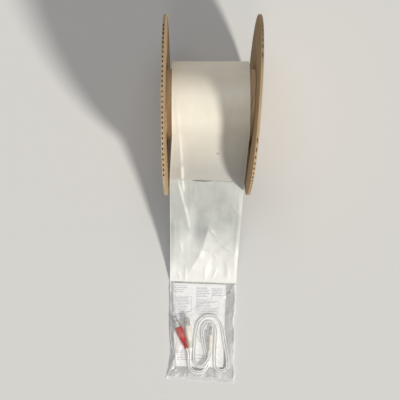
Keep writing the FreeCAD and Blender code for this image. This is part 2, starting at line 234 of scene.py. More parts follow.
def between(knots, value, column=1):
    # Smooth value between the rows of a short table.
    if value <= knots[0][0]:
        return knots[0][column]
    for first, second in zip(knots, knots[1:]):
        if value <= second[0]:
            share = ramp(value, first[0], second[0])
            return first[column] + (second[column] - first[column]) * share
    return knots[-1][column]


def acrossFilm(share, inset=0.0):
    return (2 * share - 1) * (film["halfWidth"] - inset)


# materials

def feed(socket, value):
    # Sets an input, or links it where the value comes from another node.
    if isinstance(value, bpy.types.NodeSocket):
        socket.id_data.links.new(value, socket)
    else:
        socket.default_value = value


def newMaterial(name, **values):
    material = bpy.data.materials.new(name)
    material.use_nodes = True
    shader = material.node_tree.nodes["Principled BSDF"]
    for socket, value in values.items():
        feed(shader.inputs[socket.replace("_", " ")], value)
    return material, shader


def addNode(near, kind, inputs, **settings):
    # A new node in the tree that near belongs to.
    node = near.id_data.nodes.new("ShaderNode" + kind)
    setAll(node, settings)
    for name, value in inputs.items():
        feed(node.inputs[name], value)
    return node


def surfacePoint(near, scale=(1, 1, 1), source="Object"):
    coordinate = addNode(near, "TexCoord", {}).outputs[source]
    return addNode(near, "Mapping", {"Vector": coordinate, "Scale": scale}).outputs["Vector"]


def pointParts(near, source="Object"):
    return addNode(near, "SeparateXYZ", {"Vector": surfacePoint(near, source=source)}).outputs


def grain(point, scale, detail=4, roughness=0.55):
    values = {"Vector": point, "Scale": scale, "Detail": detail, "Roughness": roughness}
    return addNode(point, "TexNoise", values).outputs["Fac"]


def bands(point, period, axis, distortion=0.0):
    # The wave texture repeats every pi / 10 at scale 1.
    values = {"Vector": point, "Scale": math.pi / 10 / period, "Distortion": distortion}
    return addNode(point, "TexWave", values, wave_type="BANDS", bands_direction=axis).outputs["Fac"]


def spread(value, low, high, toLow, toHigh):
    values = {"Value": value, "From Min": low, "From Max": high, "To Min": toLow, "To Max": toHigh}
    return addNode(value, "MapRange", values, clamp=True).outputs["Result"]


def sums(operation, first, second=0.0):
    node = addNode(first, "Math", {}, operation=operation)
    feed(node.inputs[0], first)
    feed(node.inputs[1], second)
    return node.outputs["Value"]


def weighted(first, firstShare, second, secondShare):
    return sums("ADD", sums("MULTIPLY", first, firstShare), sums("MULTIPLY", second, secondShare))


def tint(factor, first, second):
    node = addNode(factor, "Mix", {"Factor": factor}, data_type="RGBA")
    sockets = [socket for socket in node.inputs if socket.type == "RGBA"]
    for socket, colour in zip(sockets, (first, second)):
        feed(socket, (*colour, 1) if isinstance(colour, tuple) else colour)
    return [socket for socket in node.outputs if socket.type == "RGBA"][0]


def paint(shader, colour, roughness=None):
    feed(shader.inputs["Base Color"], colour)
    if roughness is not None:
        feed(shader.inputs["Roughness"], roughness)


def dent(shader, height, strength, distance):
    bump = addNode(shader, "Bump", {"Strength": strength, "Distance": distance, "Height": height})
    feed(shader.inputs["Normal"], bump.outputs["Normal"])


def radiusAboutCore(near):
    point = pointParts(near)
    squares = [sums("MULTIPLY", point[name], point[name]) for name in "YZ"]
    return sums("SQRT", sums("ADD", *squares))


kraft = {
    "light": (0.50, 0.345, 0.19), "dark": (0.39, 0.265, 0.135), "fibre": (0.59, 0.44, 0.27),
    "rimStart": 116.5 * mm, "rimEnd": 120.7 * mm, "rimColour": (0.60, 0.45, 0.29),
    "flutePitch": 6.35 * mm, "relief": 0.25 * mm,
    "fibreStretch": {"Y": (600, 600, 60), "Z": (600, 60, 600)},      # fibres lie along the flutes
}


def kraftMaterial(name, fluteAxis):
    material, shader = newMaterial(name, Roughness=0.8)
    blotch = grain(surfacePoint(shader), 28, 5)
    fibre = grain(surfacePoint(shader, kraft["fibreStretch"][fluteAxis]), 1.6, 6, 0.7)
    wash = bands(surfacePoint(shader), kraft["flutePitch"], fluteAxis)
    board = tint(spread(blotch, 0.3, 0.7, 0, 1), kraft["light"], kraft["dark"])
    board = tint(spread(fibre, 0.55, 0.8, 0, 0.55), board, kraft["fibre"])
    board = tint(spread(wash, 0.0, 0.4, 0.3, 0), board, kraft["dark"])
    worn = spread(radiusAboutCore(shader), kraft["rimStart"], kraft["rimEnd"], 0, 1)
    worn = sums("MULTIPLY", worn, spread(fibre, 0.4, 0.65, 0, 0.9))
    paint(shader, tint(worn, board, kraft["rimColour"]), spread(fibre, 0.3, 0.7, 0.72, 0.9))
    dent(shader, weighted(wash, 0.5, fibre, 0.35), 0.35, kraft["relief"])
    return material


fluting = {
    "dark": (0.36, 0.23, 0.12), "light": (0.46, 0.31, 0.17), "fibre": (0.57, 0.42, 0.26),
    "relief": 0.15 * mm,
}


def flutingMaterial():
    material, shader = newMaterial("flutingPaper", Roughness=0.9)
    fibre = grain(surfacePoint(shader, (500, 500, 500)), 1.2, 5, 0.7)
    paper = tint(grain(surfacePoint(shader), 60, 3), fluting["dark"], fluting["light"])
    paint(shader, tint(spread(fibre, 0.5, 0.8, 0, 0.6), paper, fluting["fibre"]))
    dent(shader, fibre, 0.3, fluting["relief"])
    return material


core = {
    "dark": (0.76, 0.55, 0.34), "light": (0.84, 0.63, 0.41), "fibre": (0.88, 0.70, 0.49),
    "seam": (0.27, 0.16, 0.10),
    "turnsPerMetre": 14.0, "layerPitch": 0.7 * mm, "relief": 0.2 * mm,
}


def coreMaterial():
    material, shader = newMaterial("spiralCoreBoard", Roughness=0.7)
    point = pointParts(shader)
    angle = sums("ARCTAN2", point["Z"], point["Y"])
    winding = sums("FRACT", weighted(angle, 1 / (2 * math.pi), point["X"], core["turnsPerMetre"]))
    seam = sums("ADD", spread(winding, 0.0, 0.02, 1, 0), spread(winding, 0.5, 0.515, 0.0, 0.25))
    layers = bands(surfacePoint(shader), core["layerPitch"], "X", 2.0)
    fibre = grain(surfacePoint(shader, (300, 300, 300)), 1.4, 5, 0.65)
    paper = tint(grain(surfacePoint(shader), 40, 3), core["dark"], core["light"])
    paper = tint(spread(fibre, 0.5, 0.8, 0, 0.5), paper, core["fibre"])
    paper = tint(sums("MULTIPLY", seam, 0.7), paper, core["seam"])
    paint(shader, paper, spread(fibre, 0.3, 0.7, 0.6, 0.8))
    dent(shader, sums("SUBTRACT", weighted(fibre, 0.3, layers, 0.1), seam), 0.3, core["relief"])
    return material


milky = {
    "bars": (0.58, 0.57, 0.53), "streaks": (0.80, 0.79, 0.75), "doubledAndHighlight": (0.87, 0.865, 0.835),
    "alphaWander": 0.04, "relief": 1.0 * mm,
}


def milkyFilmMaterial(name, alpha, dull, bright, paintedEndShading=None):
    # Satin film. Streaks run with the web, and faint bars lie across it.
    # The last argument paints one end as painted shade or painted light: its colour, where it is full, where
    # it is gone, and its most.
    material, shader = newMaterial(name, Specular_IOR_Level=0.9, IOR=1.5)
    streak = grain(surfacePoint(shader, (90, 5, 1), "UV"), 1.0, 4)
    bars = grain(surfacePoint(shader, (2, 120, 1), "UV"), 1.0, 3)
    cloud = grain(surfacePoint(shader), 30, 4)
    white = tint(spread(cloud, 0.3, 0.7, 0, 1), dull, bright)
    white = tint(spread(bars, 0.55, 0.8, 0, 0.2), white, milky["bars"])
    white = tint(spread(streak, 0.52, 0.75, 0, 0.35), white, milky["streaks"])
    # Painted shade on the web's lead, painted light on the bag's far end
    if paintedEndShading:
        colour, fullAt, noneAt, most = paintedEndShading
        white = tint(spread(pointParts(shader, "UV")["Y"], fullAt, noneAt, most, 0), white, colour)
    # This attribute whitens the film: doubled film, with painted highlights and painted light laid on it.
    pleatAndPaintedLight = addNode(shader, "Attribute", {}, attribute_name="pleatAndPaintedLight")      # doubled film is whiter, and the same white lays on painted highlights and painted light
    white = tint(spread(pleatAndPaintedLight.outputs["Fac"], 0, 1, 0, 0.9), white, milky["doubledAndHighlight"])
    paint(shader, white, spread(streak, 0.3, 0.7, 0.4, 0.52))
    dent(shader, weighted(streak, 0.7, cloud, 0.6), 0.12, milky["relief"])
    if alpha < 1:
        limits = (alpha - milky["alphaWander"], alpha + milky["alphaWander"])
        feed(shader.inputs["Alpha"], spread(cloud, 0.3, 0.7, *limits))
    return material


wound = {"dark": (0.62, 0.60, 0.54), "light": (0.84, 0.83, 0.78), "ringScale": 900.0, "relief": 0.2 * mm}


def woundEdgeMaterial():
    material, shader = newMaterial("woundFilm", Specular_IOR_Level=0.5)
    radius = sums("MULTIPLY", radiusAboutCore(shader), wound["ringScale"])
    ring = addNode(shader, "TexNoise", {}, noise_dimensions="1D")
    feed(ring.inputs["Scale"], 4)
    feed(ring.inputs["W"], radius)
    white = tint(spread(ring.outputs["Fac"], 0.35, 0.65, 0, 1), wound["dark"], wound["light"])
    paint(shader, white, spread(grain(surfacePoint(shader), 1500, 2), 0.3, 0.7, 0.35, 0.55))
    dent(shader, ring.outputs["Fac"], 0.3, wound["relief"])
    return material


clear = {
    "colour": (0.93, 0.94, 0.95, 1), "faceBlend": 0.35, "faceVeil": 0.35, "mostVeil": 0.92,
    # where the veil starts and is full: from the middle towards each side, and from the foot up
    "looseSide": (0.42, 0.475), "paintedGlintSide": (0.472, 0.49), "foot": (0.01, 0.06),
    "paintedGlintVeil": 0.7, "relief": 0.6 * mm,
}


def clearFilmMaterial(name, leastVeil, mostVeil):
    # Clear film: nearly nothing over the contents, hazy down its loose sides and foot with painted glare
    # streaks where it creases, and a painted highlight of white along the tube's folded sides.
    material, shader = newMaterial(name, Base_Color=clear["colour"], Specular_IOR_Level=0.9, IOR=1.5)
    facing = addNode(shader, "LayerWeight", {"Blend": clear["faceBlend"]}).outputs["Facing"]
    scuff = grain(surfacePoint(shader), 70, 5, 0.6)
    streak = grain(surfacePoint(shader, (14, 60, 1), "UV"), 1.0, 4)
    paintedGlare = grain(surfacePoint(shader, (11, 5, 1), "UV"), 1.0, 5, 0.6)
    flat = pointParts(shader, "UV")
    fromMiddle = sums("ABSOLUTE", sums("SUBTRACT", flat["X"], 0.5))
    foot = spread(flat["Y"], *clear["foot"], 1, 0)
    loose = sums("MAXIMUM", spread(fromMiddle, *clear["looseSide"], 0, 1), foot)
    veil = sums("ADD", spread(scuff, 0.42, 0.75, leastVeil, mostVeil),
                spread(facing, 0.05, 0.9, 0.0, clear["faceVeil"]))
    # Painted glare: whiter streaks where the loose film creases.
    veil = sums("ADD", veil, sums("MULTIPLY", loose, spread(paintedGlare, 0.42, 0.6, 0.05, 0.5)))
    # Painted highlight: a white line along the tube's folded sides.
    veil = sums("ADD", veil, spread(fromMiddle, *clear["paintedGlintSide"], 0.0, clear["paintedGlintVeil"]))
    feed(shader.inputs["Alpha"], sums("MINIMUM", veil, clear["mostVeil"]))
    feed(shader.inputs["Roughness"], spread(streak, 0.3, 0.7, 0.08, 0.2))
    dent(shader, sums("ADD", scuff, streak), 0.15, clear["relief"])
    return material


def plainMaterial(name, colour, second, roughness, scale=900, metallic=0.0, depth=0.05):
    # Moulded, plated or pressed: a fine grain in colour, gloss and relief, its depth in millimetres.
    material, shader = newMaterial(name, Metallic=metallic)
    speck = grain(surfacePoint(shader), scale, 3)
    mark = grain(surfacePoint(shader), scale / 12, 4)
    colour = tint(spread(mark, 0.35, 0.7, 0, 1), colour, second)
    paint(shader, colour, spread(speck, 0.3, 0.7, roughness - 0.06, roughness + 0.08))
    dent(shader, speck, 0.12, depth * mm)
    return material


def glueMaterial():
    material, shader = newMaterial("hotGlue", Roughness=0.3, Transmission_Weight=0.25)
    cloud = grain(surfacePoint(shader), 250, 4)
    paint(shader, tint(cloud, (0.74, 0.62, 0.38), (0.86, 0.79, 0.60)))
    dent(shader, cloud, 0.3, 0.4 * mm)
    return material


def paperMaterial():
    material, shader = newMaterial("leafletPaper", Roughness=0.75)
    fibre = grain(surfacePoint(shader), 1800, 4)
    cloud = grain(surfacePoint(shader), 60, 3)
    paint(shader, tint(cloud, (0.92, 0.915, 0.93), (0.96, 0.96, 0.965)))
    dent(shader, sums("ADD", fibre, cloud), 0.15, 0.15 * mm)
    return material


kraftAlongZ = kraftMaterial("kraftLinerUpright", "Y")
kraftAlongY = kraftMaterial("kraftLinerLevel", "Z")
flutingPaper = flutingMaterial()
crushedEdge = plainMaterial("crushedEdge", (0.39, 0.29, 0.17), (0.50, 0.385, 0.24), 0.85, 400)
coreBoard = coreMaterial()
hotGlue = glueMaterial()
packingTape = plainMaterial("packingTape", (0.55, 0.40, 0.20), (0.62, 0.47, 0.25), 0.25, 500)
# Film on the roll is backed by white layers. Off the roll it is painted greyer, a painted shade,
# and the bag is painted whiter again at its crumpled end, a painted highlight.
webFilm = milkyFilmMaterial("milkyWeb", 1.0, (0.81, 0.775, 0.665), (0.88, 0.845, 0.735),
                            ((0.46, 0.455, 0.43), 0.06, 0.42, 1.0))
bagFilm = milkyFilmMaterial("milkyBag", 0.92, (0.48, 0.50, 0.485), (0.535, 0.558, 0.544),
                            ((0.89, 0.895, 0.885), 0.1, 0.5, 0.9))
# The ties are painted the grey of the film off the roll, the same painted shade.
tieFilm = milkyFilmMaterial("milkyTies", 1.0, (0.50, 0.495, 0.475), (0.56, 0.555, 0.53))
woundFilm = woundEdgeMaterial()
clearFilm = clearFilmMaterial("clearFilm", 0.0, 0.09)
sealedFilm = clearFilmMaterial("sealedFilm", 0.34, 0.55)
leafletPaper = paperMaterial()
printInk = plainMaterial("greyInk", (0.34, 0.33, 0.40), (0.46, 0.45, 0.53), 0.6, 2500)
cordSheath = plainMaterial("whiteSheath", (0.90, 0.90, 0.885), (0.95, 0.95, 0.94), 0.3, 700, 0.0, 0.03)
redMoulding = plainMaterial("redMoulding", (0.50, 0.020, 0.018), (0.58, 0.035, 0.030), 0.4)
whiteMoulding = plainMaterial("whiteMoulding", (0.80, 0.78, 0.70), (0.86, 0.84, 0.78), 0.4)
nickelPlate = plainMaterial("nickelPlate", (0.66, 0.65, 0.62), (0.76, 0.75, 0.72), 0.2, 1200, 1.0, 0.02)
insulatorWhite = plainMaterial("insulatorMoulding", (0.72, 0.71, 0.66), (0.80, 0.79, 0.74), 0.45)
blackRings = plainMaterial("blackRings", (0.02, 0.02, 0.02), (0.05, 0.05, 0.05), 0.4)
print("materials made")


# CAD pieces that keep their own shape

nodeFinish = (
    (kraftAlongZ, "left_flange_inner_liner", "left_flange_outer_liner"),
    (kraftAlongY, "right_flange_inner_liner", "right_flange_outer_liner"),
    (flutingPaper, "left_flange_fluting", "right_flange_fluting"),
    (coreBoard, "core_tube"),
    (packingTape, "start_tape"),
    (hotGlue, "left_glue_dots", "right_glue_dots"),
    (redMoulding, "red_plug_grip"),
    (whiteMoulding, "white_plug_grip", "small_plug_grip"),
    (nickelPlate, "red_plug_shell", "red_plug_pin", "white_plug_shell", "white_plug_pin",
     "small_plug_sleeve", "small_plug_ring", "small_plug_tip"),
    (insulatorWhite, "red_plug_insulator", "white_plug_insulator"),
    (blackRings, "small_plug_spacers"),
)
for finish, *finished in nodeFinish:
    for nodeName in finished:
        wear(nodes[nodeName], finish)
print("CAD pieces finished", sum(len(row) - 1 for row in nodeFinish))


# flange rims: the cut edge of the board, pressed nearly shut over the ends of its flutes

rim = {
    "radius": 120.45 * mm, "band": 2.5 * mm, "thickness": 0.3 * mm, "cells": (6, 720),
    "holeLength": 3.0 * mm, "holeWidth": 1.7 * mm,
    # which way the flutes run, and the share of the radius past which their ends show
    "left": ((0, 0, 1), 0.55), "right": ((0, 1, 0), 0.35),
}


def middleOf(thing):
    spots = [thing.matrix_world @ vertex.co for vertex in thing.data.vertices]
    return Vector([(min(axis) + max(axis)) / 2 for axis in zip(*spots)])


def makeRim(side):
    flutesRun, openFrom = rim[side]
    inner = middleOf(nodes[side + "_flange_inner_liner"])
    outer = middleOf(nodes[side + "_flange_outer_liner"])
    centre = (inner + outer) / 2
    axis = (outer - inner).normalized()
    acrossFlutes = axis.cross(Vector(flutesRun)).normalized()
    alongFlutes = acrossFlutes.cross(axis)

    def place(acrossShare, alongShare):
        angle = 2 * math.pi * alongShare
        outward = alongFlutes * math.cos(angle) + acrossFlutes * math.sin(angle)
        return centre + outward * rim["radius"] + axis * (acrossShare - 0.5) * rim["band"]

    def isHole(face):
        away = face.center - centre
        step = away.dot(acrossFlutes) / kraft["flutePitch"]
        atFlute = abs(step - round(step)) * kraft["flutePitch"] < rim["holeLength"] / 2
        inBand = abs(away.dot(axis)) < rim["holeWidth"] / 2
        return atFlute and inBand and abs(away.dot(alongFlutes)) > openFrom * rim["radius"]

    strip = makeSheet(side + "FlangeRim", rim["cells"], place)
    editAll(strip, mergePoints)
    cutAway(strip, "FACE", isHole)
    thicken(strip, rim["thickness"])
    placeOn(strip, crushedEdge, "reel", "kraft_fluting")
    return strip


leftRim = makeRim("left")
rightRim = makeRim("right")
print("flange rims closed", len(leftRim.data.polygons), len(rightRim.data.polygons))


# camera: straight down, as the photograph was taken

view = {"place": (-14.2 * mm, -127 * mm, 1429.35 * mm), "lens": 96.03, "sensor": 36.0}
bpy.ops.object.camera_add(location=view["place"], rotation=(0, 0, 0))
camera = bpy.context.object
camera.name = "photoCamera"
camera.data.lens = view["lens"]
camera.data.sensor_width = view["sensor"]
scene.camera = camera


# twin lead inside the filled bag: across the bag, along it, above the surface, in millimetres

lead = {
    "diameter": 2.4 * mm,
    "spacing": 2.9,
    "leadIn": 6.5,
    "plugHeight": 6.05,
    "plugParts": ("grip", "shell", "insulator", "pin"),
    "stepsAlong": 8, "stepsRound": 4,
    "redTail": (-20.7, 95.0), "redFront": (-34.2, 64.0), "redLength": 0.439,      # lengths in metres
    "whiteTail": (-15.4, 94.0), "whiteFront": (-20.4, 63.0), "whiteLength": 0.412,
    "route": (
        (-16.6, 110.5, 2.8), (-16.4, 122.5, 2.3), (-8.5, 130.4, 2.3), (2.5, 130.4, 2.3),
        (10.4, 122.5, 2.3), (10.0, 111.5, 2.3), (7.0, 100.0, 2.3), (3.9, 88.5, 2.3),
        (1.8, 76.5, 2.3), (1.6, 64.5, 2.3), (7.2, 57.4, 2.3), (15.2, 57.4, 2.3),
        (20.8, 63.5, 2.3), (21.6, 74.0, 2.3), (21.3, 86.0, 2.3), (20.9, 98.0, 2.3),
        (21.0, 110.0, 2.3), (21.8, 121.3, 2.3), (27.0, 126.7, 2.3), (34.6, 126.7, 2.3),
        (40.0, 121.3, 2.3), (39.6, 111.0, 2.3), (37.4, 99.5, 2.3), (34.8, 87.5, 2.3),
        (32.6, 75.5, 2.3), (29.6, 60.0, 2.3), (19.8, 48.0, 2.3), (5.2, 47.5, 2.3),
        (-5.0, 57.7, 2.3), (-7.4, 69.5, 2.3), (-8.4, 81.5, 2.3), (-8.9, 93.5, 2.3),
        (-8.8, 105.0, 2.4), (-8.4, 116.4, 2.9), (-3.4, 121.6, 3.7), (3.6, 121.6, 5.0),
        (8.6, 116.4, 5.8), (11.8, 109.6, 5.6), (13.4, 103.6, 5.2), (13.4, 97.8, 5.2),
    ),
}
bagTurn = Matrix.Rotation(-film["skew"], 3, "Z")
bagOrigin = Vector((secondFold.x, secondFold.y, floorHeight))


def inBag(across, along, height):
    return bagOrigin + bagTurn @ Vector((across, -along, height)) * mm


def besideRoute(route, distance):
    # Each point moved sideways, level, so that one cord runs beside the other.
    moved = []
    for index, point in enumerate(route):
        sides = []
        for first, second in ((index - 1, index), (index, index + 1)):
            if 0 <= first and second < len(route):
                start, end = route[first], route[second]
                step = Vector((end[0] - start[0], end[1] - start[1])).normalized()
                sides.append(Vector((step.y, -step.x)))
        middle = (sides[0] + sides[-1]).normalized()
        share = distance / middle.dot(sides[0])
        moved.append((point[0] + middle.x * share, point[1] + middle.y * share, point[2]))
    return moved


def plugLeadIn(tail, front):
    back = Vector((tail[0] - front[0], tail[1] - front[1])).normalized() * lead["leadIn"]
    return [(*tail, lead["plugHeight"]), (tail[0] + back.x, tail[1] + back.y, lead["plugHeight"])]


def makeCord(colour, side):
    beside = besideRoute(lead["route"], side * lead["spacing"] / 2)
    points = plugLeadIn(lead[colour + "Tail"], lead[colour + "Front"]) + beside
    points.reverse()
    data = bpy.data.curves.new(colour + "Cord", "CURVE")
    data.dimensions = "3D"
    spline = data.splines.new("NURBS")
    spline.points.add(len(points) - 1)
    for knot, point in zip(spline.points, points):
        knot.co = (*inBag(*point), 1)
    spline.order_u = 3
    spline.use_endpoint_u = True
    spline.resolution_u = lead["stepsAlong"]
    data.bevel_depth = lead["diameter"] / 2
    data.bevel_resolution = lead["stepsRound"]
    cord = bpy.data.objects.new(colour + "Cord", data)
    scene.collection.objects.link(cord)
    placeOn(cord, cordSheath, "filled_bag", "cord_white", colour + "_cord")
    tuple(inBag(*points[0]))
    return cord


redCord = makeCord("red", -1)
whiteCord = makeCord("white", 1)
print("cords laid")


# wound roll: a spun profile whose ends show the uneven edges of the layers

roll = {
    "inner": 48.0 * mm, "outer": 57.55 * mm, "layers": 44, "steps": 168, "smoothAngle": 30,
    "wander": 0.22 * mm, "room": 1.5, "seed": 4,      # room for the wander at each end, in wanders
}


def makeRoll():
    random.seed(roll["seed"])
    rightEdge = []
    leftEdge = []
    half = film["halfWidth"] - roll["wander"] * roll["room"]
    for layer in range(roll["layers"] + 1):
        radius = roll["inner"] + (roll["outer"] - roll["inner"]) * layer / roll["layers"]
        rightEdge.append((half + random.uniform(-1, 1) * roll["wander"], radius))
        leftEdge.append((-half + random.uniform(-1, 1) * roll["wander"], radius))
    outline = leftEdge + rightEdge[::-1]
    bpy.ops.object.select_all(action="DESELECT")
    bpy.ops.mesh.primitive_circle_add(vertices=len(outline), radius=1)
    thing = bpy.context.object
    thing.name = "woundRoll"
    for vertex, (across, radius) in zip(thing.data.vertices, outline):
        vertex.co = (across, 0, radius)

    def spinProfile():
        bpy.ops.mesh.spin(steps=roll["steps"], angle=2 * math.pi, center=(0, 0, 0), axis=(1, 0, 0))

    editAll(thing, spinProfile, mergePoints, bpy.ops.mesh.normals_make_consistent)
    smoothShade(thing, roll["smoothAngle"])
    placeOn(thing, woundFilm, "reel", "wound_film", "film_roll")


makeRoll()
print("roll wound")


# web: the outer wrap of the roll and the film that leads off it, down to the first perforation

web = {
    "cells": (76, 224),
    "thickness": 0.5 * mm, "rounding": 0.18 * mm,
    "hole": (11.0, 33.0), "holeRadius": 1.6 * mm, "holeRing": 2.1 * mm,
    "ripples": ((0.22, 17, 40, 3.1), (0.08, 5, 30, 8.4)),
    "proudSide": (0.22, 1.3),       # height and width of the tube's folded sides, which stand a little proud
    "onRoll": (-0.12, 0.3),         # least and most lift where the film lies on the roll
    "letsGo": (-8, 30),             # where it comes off the roll and takes its full folds
    "flatEnd": 7 * mm,
    # across, along, to across, along, width, height and power of each fold, in millimetres
    "folds": (
        (-45.7, -60.0, -41.0, -9.4, 2.0, 0.3, 2), (-41.0, -9.4, -35.3, 56.0, 1.7, 1.3, 1, 4),
        (-35.3, 56.0, -33.0, 84.0, 1.8, 1.9, 1, 4), (-27.0, 10.0, -24.0, 80.0, 6.0, -0.4, 2),
        (30.0, 10.0, 44.0, 84.0, 9.0, 0.6, 2), (2.0, 30.0, -4.0, 84.0, 10.0, 0.4, 2),
        (44.0, -20.0, 46.0, 60.0, 4.0, 0.25, 2), (-10.0, -130.0, -12.0, -60.0, 5.0, 0.12, 2),
    ),
    # where the film is painted whiter along its folds: doubled film, with a painted highlight along it
    "pleats": (
        (-47.0, -60.0, -41.0, -9.4, 1.5, 0.5, 2), (-41.0, -9.4, -35.3, 56.0, 1.3, 0.8, 2),
        (-35.3, 56.0, -33.0, 88.0, 1.5, 1.0, 2),
    ),
    "glint": (43.0, -42.8, 1.2, 0.3),      # a small raised spot: across, along, width and height
}
takeoffAngle = math.pi / 2 + film["slope"]
skewAxis = Vector((math.cos(film["skew"]), -math.sin(film["skew"]), 0))


def slopeUp(angle):
    return Vector((0, -math.sin(angle), math.cos(angle)))


def webPlace(across, along, lift):
    if along <= 0:
        angle = takeoffAngle + along / film["rollRadius"]
        normal = Vector((0, math.cos(angle), math.sin(angle)))
        return Vector((across, 0, 0)) + normal * (film["rollRadius"] + lift)
    takeoff = slopeUp(film["slope"]) * film["rollRadius"]
    share = along / film["leadLength"]
    sideways = Vector((1, 0, 0)).lerp(skewAxis, share)
    return takeoff.lerp(firstFold, share) + sideways * across + slopeUp(film["slope"]) * lift


def webLift(across, along):
    acrossMm = across / mm
    alongMm = along / mm
    height = foldHeight(web["folds"], acrossMm, alongMm) + ripple(web["ripples"], acrossMm, alongMm)
    spotAcross, spotAlong, spotWidth, spotHeight = web["glint"]
    away = ((acrossMm - spotAcross) ** 2 + (alongMm - spotAlong) ** 2) / spotWidth ** 2
    height += spotHeight * math.exp(-away)
    sideHeight, sideWidth = web["proudSide"]
    height += sideHeight * math.exp(-((film["halfWidth"] / mm - abs(acrossMm)) / sideWidth) ** 2)
    free = ramp(alongMm, *web["letsGo"])
    least, most = web["onRoll"]
    height = height * free + max(least, min(most, height)) * (1 - free)
    edge = ramp(film["leadLength"] - along, 0, web["flatEnd"])
    tuck = 1 - ramp(along + film["wrapLength"], 0, film["tuckLength"])
    return height * mm * edge * (1 - tuck) - film["tuckDepth"] * tuck


# White of the tube's folded sides and of the pleats: doubled film, with a painted highlight laid along it
def doubledAndHighlight(pleats, across, along):
    most, width = film["sideWhite"]
    side = most * math.exp(-((film["halfWidth"] / mm - abs(across)) / width) ** 2)
    return min(1.0, side + foldHeight(pleats, across, along))


def makeWeb():
    length = film["wrapLength"] + film["leadLength"] - film["tieGap"]

    def place(acrossShare, alongShare):
        along = alongShare * length - film["wrapLength"]
        across = acrossFilm(acrossShare)
        return webPlace(across, along, webLift(across, along))

    def pleatAndPaintedLight(acrossShare, alongShare):
        along = alongShare * length - film["wrapLength"]
        return doubledAndHighlight(web["pleats"], acrossFilm(acrossShare) / mm, along / mm)

    sheet = makeSheet("leadFilm", web["cells"], place, pleatAndPaintedLight)
    hole = [distance * mm for distance in web["hole"]]
    centre = webPlace(*hole, webLift(*hole))
    nearest = min(sheet.data.vertices, key=lambda vertex: (vertex.co - centre).length).index
    middle = sheet.data.vertices[nearest].co.copy()
    for vertex in sheet.data.vertices:
        away = vertex.co - middle
        if 0 < away.length < web["holeRing"]:      # the ring of points round the hole
            vertex.co = middle + away.normalized() * web["holeRadius"]
    cutAway(sheet, "VERT", lambda vertex: vertex.index == nearest)
    thicken(sheet, web["thickness"], web["rounding"])
    placeOn(sheet, webFilm, "web", "web_film", "outer_wrap", "lead_film")


makeWeb()
print("web drawn off the roll")


# empty bag: back panel, and a front panel whose lip lifts at the mouth

bag = {
    "cells": (112, 188),
    "plyLift": 0.2 * mm,
    "plyThickness": 0.16 * mm,
    "crease": 25 * mm,
    "creaseWidth": 5 * mm,
    "mouth": (-6.0, 11.0, 1.3, 14.0),   # middle, half width, lift and length of the open slit
    "drawnIn": 0.045,                   # share of its width that the sagging tube loses by its far end
    "frontInset": 0.15 * mm,
    "sagEnds": 14 * mm, "foldEnds": 6 * mm, "foldSides": 4 * mm,      # over these, sags and folds die away
    "slack": 0.2,                       # millimetres that the front panel usually lies off the back one
    "sagRipples": ((0.8, 24, 40, 1.7),), "foldRipples": ((0.3, 9, 26, 5.2),),
    # along, left and right edge of the part painted white: painted light on the flatter film below the ridges
    # that meet in a point
    "paintedLit": ((83.4, 4.6, 4.6), (115.1, -1.0, 25.0), (134.0, -7.0, 50.0), (162.0, -22.0, 60.0)),
    "paintedLitWhite": 0.5,
    "paintedLitFade": {"left": (-1.5, 1.5), "right": (-6, 2), "top": (-2, 6)},
    # sags and ridges that both panels share: ridges that meet in a point, as on the photographed bag
    "sags": (
        (4.6, 83.4, -3.3, 124.7, 10.0, 2.4, 1), (-3.3, 124.7, -22.0, 162.0, 9.0, 2.2, 1),
        (4.6, 83.4, 25.0, 115.1, 10.0, 2.0, 1), (25.0, 115.1, 50.0, 134.0, 9.0, 1.6, 1),
        (-14.0, 40.0, -16.0, 120.0, 11.0, -2.6, 2), (30.0, 10.0, 44.0, 80.0, 14.0, 1.2, 2),
        (5.0, 150.0, 38.0, 156.0, 16.0, -1.2, 2), (-38.0, 60.0, -40.0, 150.0, 8.0, 1.0, 2),
    ),
    "folds": (
        (-39.6, 2.0, -30.7, 47.6, 1.8, 1.5, 1, 3), (-30.7, 47.6, -21.3, 93.0, 2.3, 1.9, 1, 3),
        (-33.5, 0.0, -31.5, 22.0, 1.5, 1.0, 1, 3), (-22.8, 0.0, -21.9, 65.0, 1.0, 0.3, 1),
        (34.5, 40.9, 50.0, 65.5, 2.0, 0.6, 1), (-36.0, 112.0, -33.0, 132.0, 2.0, 0.6, 1),
        (12.9, 130.5, 20.0, 138.0, 1.8, 0.8, 1), (-27.1, 150.0, -27.6, 176.0, 2.4, 1.0, 1),
        (2.4, 150.0, 2.4, 174.0, 2.0, 0.5, 2), (19.0, 154.0, 14.0, 172.0, 2.0, 0.8, 1),
        (-45.5, 60.0, -45.0, 150.0, 3.0, 0.5, 2), (46.5, 20.0, 46.0, 165.0, 3.0, 0.5, 2),
        (33.0, 140.0, 38.0, 172.0, 3.0, 0.5, 2), (-40.0, 160.0, -34.0, 174.0, 2.0, 0.6, 1),
    ),
    # where the film is painted whiter along its folds: doubled film, with a painted highlight along it
    "pleats": (
        (-33.5, -4.0, -31.0, 24.0, 1.4, 1.0, 2), (-39.6, -2.0, -30.7, 47.6, 1.3, 0.7, 2),
        (-30.7, 40.0, -21.3, 93.0, 1.8, 0.5, 2), (46.0, 20.0, 49.0, 60.0, 1.8, 0.4, 2),
    ),
}
bagRadius = film["bagPitch"] / (film["slope"] - film["bagEndSlope"])


def bagWidth(along):
    return 1 - bag["drawnIn"] * ramp(along, 0, film["bagPitch"])


def bagPlace(across, along, lift):
    angle = film["slope"] - along / bagRadius
    point = slopeUp(film["slope"]) * bagRadius - slopeUp(angle) * (bagRadius - lift)
    return firstFold + bagTurn @ point + skewAxis * across * bagWidth(along)


def fadeAtEnds(along, reach):
    return ramp(along, 0, reach) * ramp(film["bagPitch"] - along, 0, reach)


